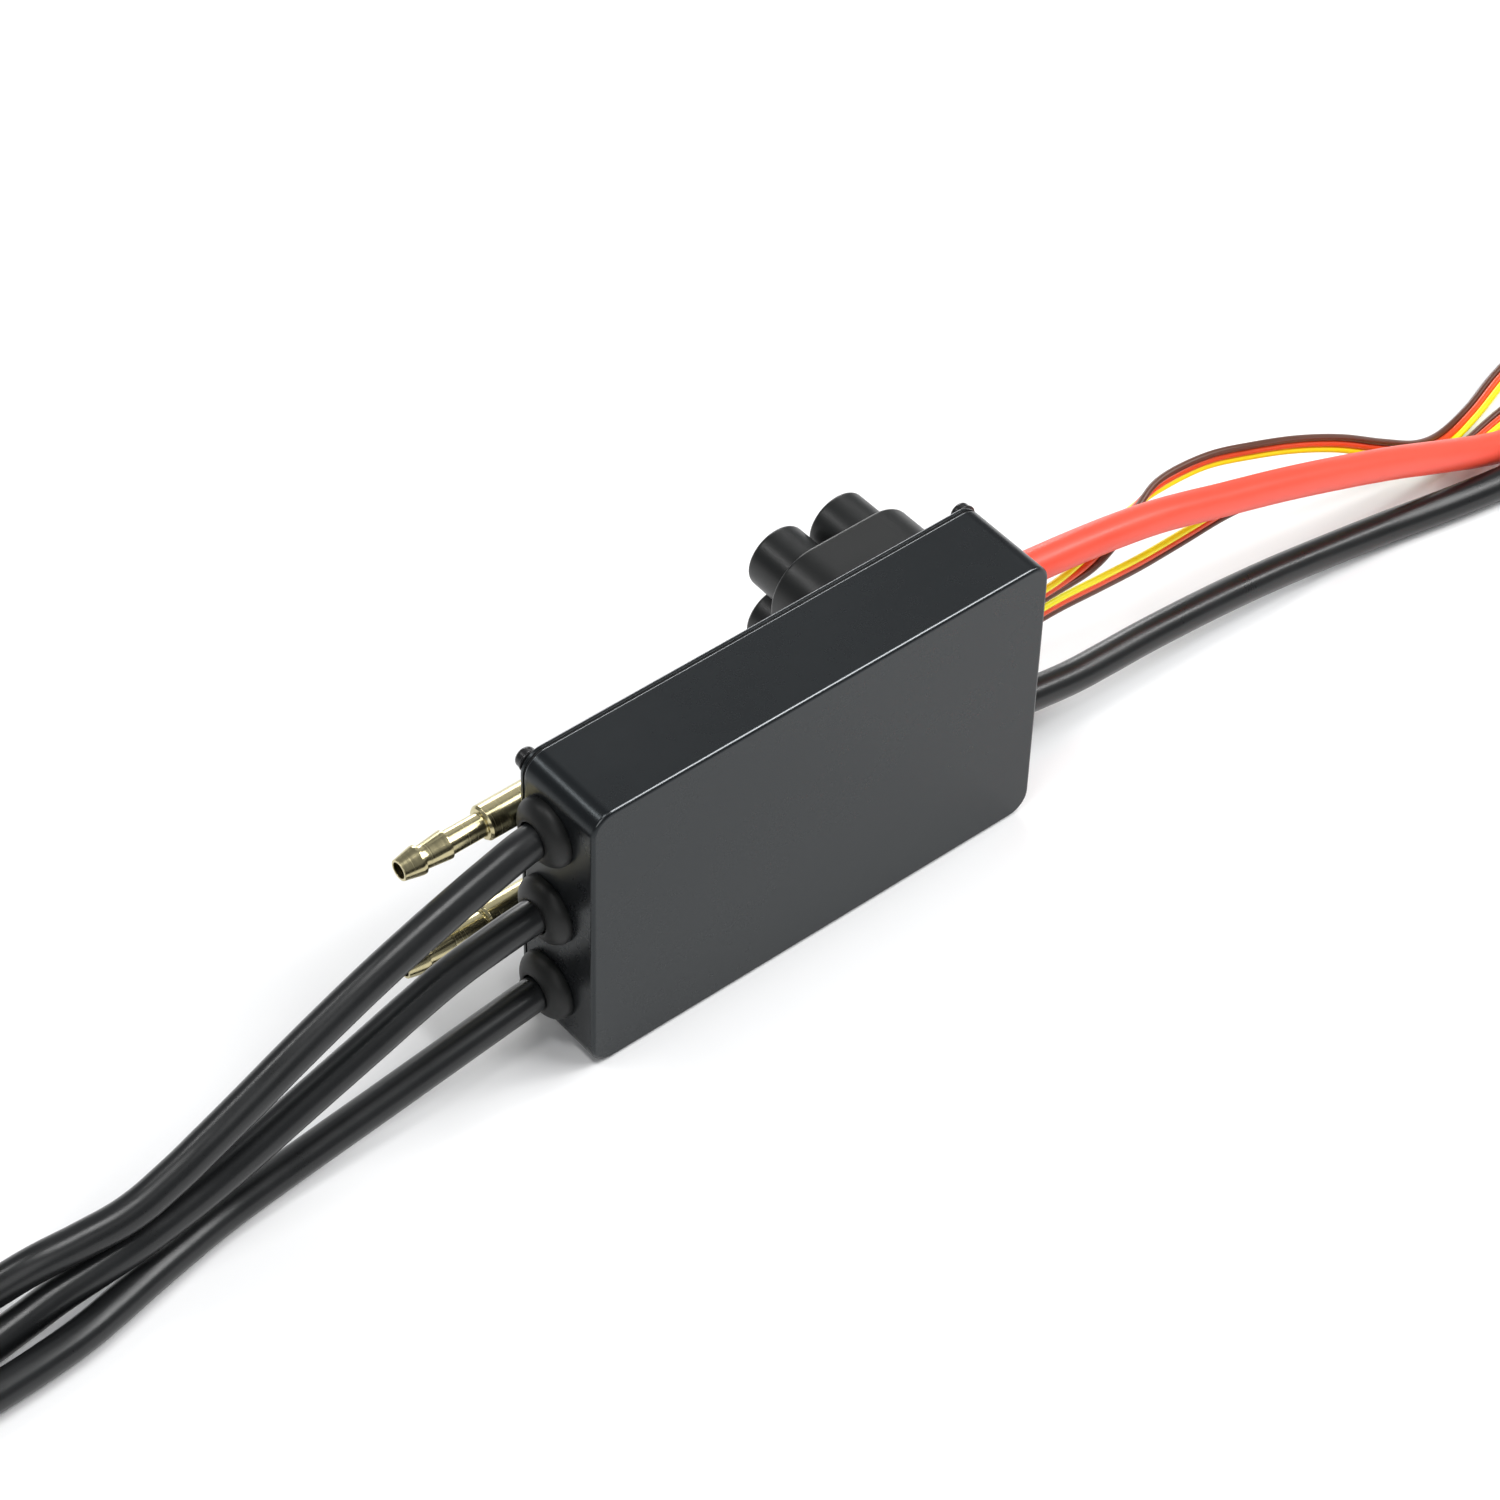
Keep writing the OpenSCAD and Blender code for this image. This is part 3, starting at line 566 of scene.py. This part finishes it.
# ------------------------------------------------------------------ signal leads and plugs
def ribbon(name, route, cad):
    """Three insulated strands side by side, just touching, with the lead's twist."""
    pts = smooth_route(ROUTES[route], 6, 0.68)
    path = smooth_route(ROUTES[route], 2, 0.68)
    v, f, fm = [], [], []
    n, seg, r = len(pts), 14, 0.65
    vec = [Vector(p[:3]) for p in pts]
    frames = []
    for i in range(n):
        t = (vec[min(i + 1, n - 1)] - vec[max(i - 1, 0)]).normalized()
        up = (Vector((0, 0, 1)) - t * t.z).normalized()
        side = t.cross(up)
        a = math.radians(pts[i][3])
        frames.append((up * math.cos(a) + side * math.sin(a), side * math.cos(a) - up * math.sin(a)))
    for k, mi in ((1, 0), (0, 1), (-1, 2)):
        base = len(v)
        for i in range(n):
            wide, thin = frames[i]
            c = vec[i] + wide * (1.28 * k)
            for j in range(seg):
                t = 2 * math.pi * j / seg
                q = c + wide * (r * math.cos(t)) + thin * (r * math.sin(t))
                v.append((q.x, q.y, max(q.z, 0.005)))
        for i in range(n - 1):
            for j in range(seg):
                jj = (j + 1) % seg
                f.append((base + i * seg + j, base + i * seg + jj, base + (i + 1) * seg + jj, base + (i + 1) * seg + j))
                fm.append(mi)
        f.append(tuple(base + j for j in range(seg)))
        f.append(tuple(base + (n - 1) * seg + j for j in range(seg)))
        fm += [mi, mi]
    o = link_mesh(name, v, f, [M["strand_yellow"], M["strand_red"], M["strand_brown"]], face_mats=fm)
    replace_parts(o, cad)
    return o


def plug_housing(name, route, cad):
    """Three-way crimp housing: chamfered body, latch windows, contact cavities."""
    x, y, _ = ROUTES[route][-1][:3]
    h, w, ln = 2.5, 7.6, 14.0
    outline = lambda i: rr(y - w / 2, y + w / 2, 0.0, h, 0.42, 4, i)
    v, f = loft("x", block("x", x, x + ln, outline, 0.18, 0.18, 3))
    o = link_mesh(name, v, f, M["plug_black"])
    cs = []
    for k in (-1, 0, 1):
        yy = y + k * 2.54
        cs.append(box_cut((x + 5.5, yy - 0.5, 0.75), (x + ln + 1, yy + 0.5, 1.75)))
        cs.append(box_cut((x + 4.2, yy - 0.55, 1.9), (x + 7.4, yy + 0.55, h + 1)))
        cs.append(box_cut((x - 1, yy - 0.72, 0.55), (x + 1.2, yy + 0.72, 1.95)))
    cs.append(box_cut((x + 9.4, y - w, h - 0.16), (x + 12.4, y + w, h + 1)))
    for k in (-0.5, 0.5):
        cs.append(box_cut((x + 8.2, y + k * 2.54 - 0.12, h - 0.25), (x + ln + 1, y + k * 2.54 + 0.12, h + 1)))
    cut(o, cs)
    weighted(o, 30)
    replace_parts(o, cad)
    return o


def plug_contacts(name, route, cad):
    """Folded box contacts, each with a sprung tongue under its window."""
    x, y, _ = ROUTES[route][-1][:3]
    v, f = [], []
    def add(lo, hi):
        b = len(v)
        for i in range(8):
            v.append((hi[0] if i & 1 else lo[0], hi[1] if i & 2 else lo[1], hi[2] if i & 4 else lo[2]))
        f.extend(tuple(b + q for q in face) for face in ((0, 1, 3, 2), (4, 6, 7, 5), (0, 4, 5, 1), (2, 3, 7, 6), (0, 2, 6, 4), (1, 5, 7, 3)))
    for k in (-1, 0, 1):
        yy = y + k * 2.54
        add((x + 6, yy - 0.44, 0.82), (x + 10, yy + 0.44, 0.97))
        add((x + 6, yy - 0.44, 0.97), (x + 10, yy - 0.32, 1.66))
        add((x + 6, yy + 0.32, 0.97), (x + 10, yy + 0.44, 1.66))
        add((x + 6.1, yy - 0.3, 1.5), (x + 9.6, yy + 0.3, 1.62))
    o = link_mesh(name, v, f, M["contact_gold"], smooth=False)
    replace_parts(o, cad)
    return o


pa, pb = plug_housing("plug_housing_a", "la", "signal_plug_a"), plug_housing("plug_housing_b", "lb", "signal_plug_b")
ca, cb = plug_contacts("plug_contacts_a", "la", "signal_contacts_a"), plug_contacts("plug_contacts_b", "lb", "signal_contacts_b")
ribbon("ribbon_lead_a", "la", "signal_lead_a")
ribbon("ribbon_lead_b", "lb", "signal_lead_b")

# ------------------------------------------------------------------ case
R, BEV, WALL, FLOOR_T = 4.2, 0.75, 2.0, 2.2
PHASE_Z, BAT_Z, LEAD_Z, WY = (48.7, 30.0, 11.3), (46.0, 14.0), 34.15, 11.0
INSET_X, INSET_Z = 2.2, 2.8


def edge_faces(o, y0, y1):
    """The rim bevel between two heights gets a brighter, near-metal material: a painted highlight line along the seam.
    """
    o.data.materials.append(M["rim_painted_highlight"])
    for q in o.data.polygons:
        y = (q.center.y - O.y) / MM
        if y0 < y < y1 and 0.06 < q.normal.y < 0.985:
            q.material_index = 1


def outer(i=0.0, n=12):
    return rr(0, L, 0, W, R, n, i)


rings = [(FRONT + d, outer(i)) for d, i in quarter(BEV, True, 8)]
rings += [(TUB - d, outer(i)) for d, i in quarter(0.42, False, 6)]
inner = lambda i=0.0: rr(WALL, L - WALL, WALL, W - WALL, R - WALL, 12, i)
rings += [(TUB, inner(-0.14)), (TUB - 0.14, inner(0)), (FLOOR_T + 0.3, inner(0)), (FLOOR_T, inner(0.3))]
v, f = loft("y", rings)
tub = link_mesh("case_shell", v, f, M["case_anodised"])
cs = [cyl_cut("x", -1, WALL + 1, WY, z, 4.58) for z in PHASE_Z]
cs += [cyl_cut("x", L - WALL - 1, L + 1, WY, z, 4.58) for z in BAT_Z]
cs.append(cutter(*prism("x", L - WALL - 1, L + 1, rr(WY - 1.78, WY + 1.78, LEAD_Z - 4.98, LEAD_Z + 4.98, 1.77, 8))))
cut(tub, cs)
# Painted highlight on the tub's rim bevel.
edge_faces(tub, TUB - 0.44, TUB)
# Painted highlight line: front-top bevel faces whose normals mirror the overhead lamp get the bright near-metal
# material.
tub.data.materials.append(M["bevel_painted_highlight"])
for q in tub.data.polygons:
    if (q.center.y - O.y) / MM < FRONT + BEV and 0.30 < -q.normal.y < 0.62 and q.normal.z > 0.5:
        q.material_index = 2
weighted(tub, 32)
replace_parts(tub, "case_body")

v, f = loft("y", block("y", LID_Y, T, outer, 0.06, 0.34, 6))
lid = link_mesh("lid_shell", v, f, M["lid_anodised"])
cut(lid, [cutter(*prism("y", LID_Y - 1, T + 1, rr(67.5, 91.5, 11, 49, 3, 6)))])
# Painted highlight on the lid's outer rim bevel.
edge_faces(lid, T - 0.36, T)
weighted(lid, 32)
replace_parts(lid, "lid_plate")
frame["nodes"]["lid_gasket"].data.materials[0] = M["gasket_black"]

# lid screws: low cap heads on a narrow collar, with a hexagon socket
for sx in (INSET_X, L - INSET_X):
    for sz in (INSET_Z, W - INSET_Z):
        prof = [(T - 0.2, 0.001, 0), (T - 0.2, 1.2, 0), (T, 1.2, 0), (T, 2.1, 0.05), (T + 0.42, 2.1, 0.1), (T + 0.5, 1.93, 0.06), (T + 1.35, 1.93, 0.2)]
        prof = rounded(prof, False)
        for k in range(1, 9):
            a = math.radians(90 * k / 8)
            prof.append((T + 1.3 + 0.78 * math.sin(a), 1.93 - 0.72 * (1 - math.cos(a))))
        prof.append((T + 2.08, 0.001))
        o = lathe(f"lid_screw_{'l' if sx < 50 else 'r'}{'b' if sz < 30 else 't'}", "y", (sx, sz), prof, M["screw_black"], 64, closed=False,
                  cuts=[cyl_cut("y", T + 0.95, T + 4, sx, sz, 0.87, 6, math.radians(30))], smooth_angle=35)
        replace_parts(o, "lid_screws")

# ------------------------------------------------------------------ grommets
def grommet(name, cx, z, fr, sign, h):
    """Domed rubber bush: thin rim, convex face running out to a close-fitting lip."""
    k = fr - 6.4
    face = [(0.10, fr), (0.24, fr - 0.02), (0.33, fr - 0.10), (0.44, fr - 0.24), (0.56, fr - 0.50), (0.68, 5.52 + k * 0.9), (0.79, 5.06 + k * 0.8), (0.88, 4.55 + k * 0.6),
            (0.945, 4.08 + k * 0.4), (0.985, 3.66 + k * 0.2), (0.995, 3.42), (0.985, 3.26), (0.955, 3.17)]
    dome = [(0.0, 4.5), (0.0, fr - 0.03), (0.05, fr)] + [(a * h, r) for a, r in face]
    dome += [(0.85 * h, 3.125), (-3.15, 3.125), (-3.2, 3.25), (-3.2, fr - 1.25), (-3.1, fr - 1.1), (-2.1, fr - 1.1), (-2.0, fr - 1.2), (-2.0, 4.55)]
    return lathe(name, "x", (WY, z), [(cx + sign * a, r) for a, r in dome], M["rubber_black"], 96, smooth_angle=50)


for n_, z_ in zip("uvw", PHASE_Z):
    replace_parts(grommet(f"grommet_{n_}", 0.0, z_, 6.4, -1, 3.3), "phase_grommets")
for n_, z_ in zip(("positive", "negative"), BAT_Z):
    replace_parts(grommet(f"grommet_{n_}", L, z_, 5.6, 1, 2.0), "battery_grommets")
v, f = loft("x", [(L - 3, rr(WY - 2.45, WY + 2.45, LEAD_Z - 5.5, LEAD_Z + 5.5, 2.4, 8)), (L - 2, rr(WY - 2.45, WY + 2.45, LEAD_Z - 5.5, LEAD_Z + 5.5, 2.4, 8)),
                 (L - 2, rr(WY - 1.75, WY + 1.75, LEAD_Z - 4.9, LEAD_Z + 4.9, 1.7, 8)), (L, rr(WY - 1.75, WY + 1.75, LEAD_Z - 4.9, LEAD_Z + 4.9, 1.7, 8)),
                 *[(L + 1.2 - d, rr(WY - 2.9, WY + 2.9, LEAD_Z - 5.5, LEAD_Z + 5.5, 2.85, 8, i)) for d, i in [(1.2, 0.0)] + quarter(0.8, False, 6)]])
sg = link_mesh("grommet_signal", v, f, M["rubber_black"])
cut(sg, [box_cut((L - 5, WY - 0.78, LEAD_Z - 4.3), (L + 3, WY + 0.78, LEAD_Z + 4.3))])
weighted(sg, 45)
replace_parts(sg, "signal_grommet")

# ------------------------------------------------------------------ water block, nozzles
NY, NZ = 23.0, {"inlet": 43.1, "outlet": 19.2}
block_lo, block_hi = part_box("cooling_block")
bx0, bx1 = (block_lo.x - O.x) / MM, (block_hi.x - O.x) / MM
bz0, bz1 = (block_lo.z - O.z) / MM, (block_hi.z - O.z) / MM
by1 = (block_hi.y - O.y) / MM
v, f = loft("y", block("y", T, by1, lambda i: rr(bx0, bx1, bz0, bz1, 2.0, 8, i), 0.12, 0.7, 5))
wb = link_mesh("water_block", v, f, M["block_anodised"])
cs = [cyl_cut("x", bx0 - 1, 12, NY, z, 2.5) for z in NZ.values()]
cs += [cyl_cut("z", bz1 - 1.8, 60, 41, NY, 2.4)]
cut(wb, cs)
weighted(wb, 32)
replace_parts(wb, "cooling_block")
pl = lathe("water_block_plug", "z", (41, NY), rounded([(bz1 - 1.8, 0.001, 0), (bz1 - 1.8, 2.35, 0.1), (bz1, 2.35, 0.25), (bz1, 0.001, 0)], False), M["nickel_brass"], 48, closed=False,
           cuts=[cyl_cut("z", bz1 - 1.0, 52, 41, NY, 1.1, 6)])
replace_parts(pl, "channel_plug")


def nozzle(name, z, cad):
    prof = [
        (-21.2, 1.50, 0.06), (-21.2, 1.93, 0.10), (-17.7, 2.65, 0.08), (-17.1, 2.65, 0.12), (-17.05, 2.16, 0.08), (-16.2, 2.16, 0.1),
        (-12.1, 2.60, 0.08), (-11.85, 2.60, 0.08), (-11.8, 2.18, 0.08), (-4.75, 2.18, 0.12), (-4.7, 2.85, 0.04), (-4.25, 3.2, 0.08),
        (bx0 - 1.4, 3.2, 0.08), (bx0 - 1.0, 2.9, 0.05), (bx0 - 1.0, 2.44, 0.0), (11.8, 2.44, 0.1), (11.8, 1.50, 0.05),
    ]
    o = lathe(name, "x", (NY, z), rounded(prof), M["nickel_brass"], 96, smooth_angle=30)
    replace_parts(o, cad)
    return o


nozzle("nozzle_inlet", NZ["inlet"], "inlet_nozzle")
nozzle("nozzle_outlet", NZ["outlet"], "outlet_nozzle")
for n_, z_ in NZ.items():
    prof = [(bx0 - 0.5 + 0.5 * math.cos(math.radians(a)), 2.92 + 0.36 * math.sin(math.radians(a))) for a in range(0, 360, 20)]
    o = lathe(f"o_ring_{n_}", "x", (NY, z_), prof, M["rubber_black"], 64, smooth_angle=60)
    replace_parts(o, "nozzle_o_rings")

# ------------------------------------------------------------------ capacitor boot
BX, BZ = (63.9, 95.1), (7.1, 52.9)
END = (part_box("capacitor_boot")[1].y - O.y) / MM - 41.2
v, f = loft("y", [(T, rr(*BX, *BZ, 8.8, 14, 0.0)), (T + 0.35, rr(*BX, *BZ, 8.8, 14, 0.0)), (31.6, rr(*BX, *BZ, 8.8, 14, 0.12))]
            + [(32.3 - d, rr(*BX, *BZ, 8.8, 14, 0.12 + i)) for d, i in quarter(0.6, False, 6)])
base = link_mesh("capacitor_boot_base", v, f, M["boot_black"])
cut(base, [cutter(*prism("y", T - 1, 30.7, rr(BX[0] + 1.6, BX[1] - 1.6, BZ[0] + 1.6, BZ[1] - 1.6, 7.2, 8)))])
weighted(base, 32)
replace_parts(base, "capacitor_boot")
TOWERS = [(x, z) for x in (72.7, 86.3) for z in (44.1, 30.0, 15.9)]
for i_, (x_, z_) in enumerate(TOWERS):
    prof = [(31.2, 5.16), (31.2, 6.78), (32.29, 6.78)]
    for k in range(1, 7):
        a = math.radians(90 * k / 6)
        prof.append((32.3 + 0.56 * (1 - math.cos(a)), 6.76 - 0.56 * math.sin(a)))
    prof += [(36.5, 6.17), (40.1 + END, 6.13)]
    for k in range(0, 8):
        a = math.radians(90 * k / 7)
        prof.append((40.55 + END + 0.62 * math.sin(a), 6.12 - 0.62 * (1 - math.cos(a))))
    prof += [(41.18 + END, 4.6), (41.1 + END, 4.3), (41.1 + END, 0.001), (39.9 + END, 0.001), (39.9 + END, 5.16)]
    o = lathe(f"capacitor_tower_{i_ + 1}", "y", (x_, z_), prof, M["boot_black"], 72, smooth_angle=50)
    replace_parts(o, "capacitor_boot")

# ------------------------------------------------------------------ floor, light
me = bpy.data.meshes.new("floor")
s_ = 6.0
me.from_pydata([(-s_, -s_, 0), (s_, -s_, 0), (s_, s_, 0), (-s_, s_, 0)], [], [(0, 1, 2, 3)])
floor = bpy.data.objects.new("floor", me)
floor.location.z = O.z - 0.00005
coll.objects.link(floor)
fm = finish("floor_paper", (0.95, 0.95, 0.95), 0.006, (0.75, 0.85), grain=900.0, bump_s=0.02, bump_d=1e-5, blotch=6.0, spec=0.2)
me.materials.append(fm)

world = bpy.data.worlds.new("world")
scene.world = world
world.use_nodes = True
bg = world.node_tree.nodes["Background"]
bg.inputs["Color"].default_value = (0.93, 0.96, 1.0, 1)
bg.inputs["Strength"].default_value = 0.26


def area(name, loc, long_axis, size, size_y, power, target=(0, 0, 0.02), color=(1, 1, 1)):
    """Rectangular softbox aimed at the target, its long side along the given axis."""
    d = bpy.data.lights.new(name, "AREA")
    d.shape = "RECTANGLE"
    d.size = size
    d.size_y = size_y
    d.energy = power
    d.color = color
    o = bpy.data.objects.new(name, d)
    coll.objects.link(o)
    z = (Vector(loc) - Vector(target)).normalized()
    y = Vector(long_axis)
    y = (y - z * y.dot(z)).normalized()
    x = y.cross(z)
    mt = Matrix((x, y, z)).transposed().to_4x4()
    mt.translation = Vector(loc)
    o.matrix_world = mt
    return o


area("softbox_overhead_right", (0.55, -0.38, 1.02), (0, 1, 0), 0.28, 0.95, 8.4)
area("strip_wires", (-0.28, 0.0, 1.02), (0, 1, 0), 0.14, 0.42, 3.0)
area("strip_corner", (-0.66, 0.74, 1.02), (0, 1, 0), 0.24, 0.24, 2.2)
area("fill_front_left", (-0.85, -0.75, 0.80), (0, 0, 1), 0.8, 0.8, 2.8)
area("strip_battery", (0.91, -0.38, 0.75), (0.59, 0.14, -0.56), 0.15, 0.50, 3.4, target=(0.12, 0.0, 0.02))
area("soft_back_top", (0.61, 0.70, 1.00), (1, -0.87, 0), 0.7, 0.7, 0.64)
area("strip_back", (0.58, 1.06, 0.38), (1, -0.5, 0), 0.42, 0.6, 6.0)
scene.view_settings.view_transform = "Standard"
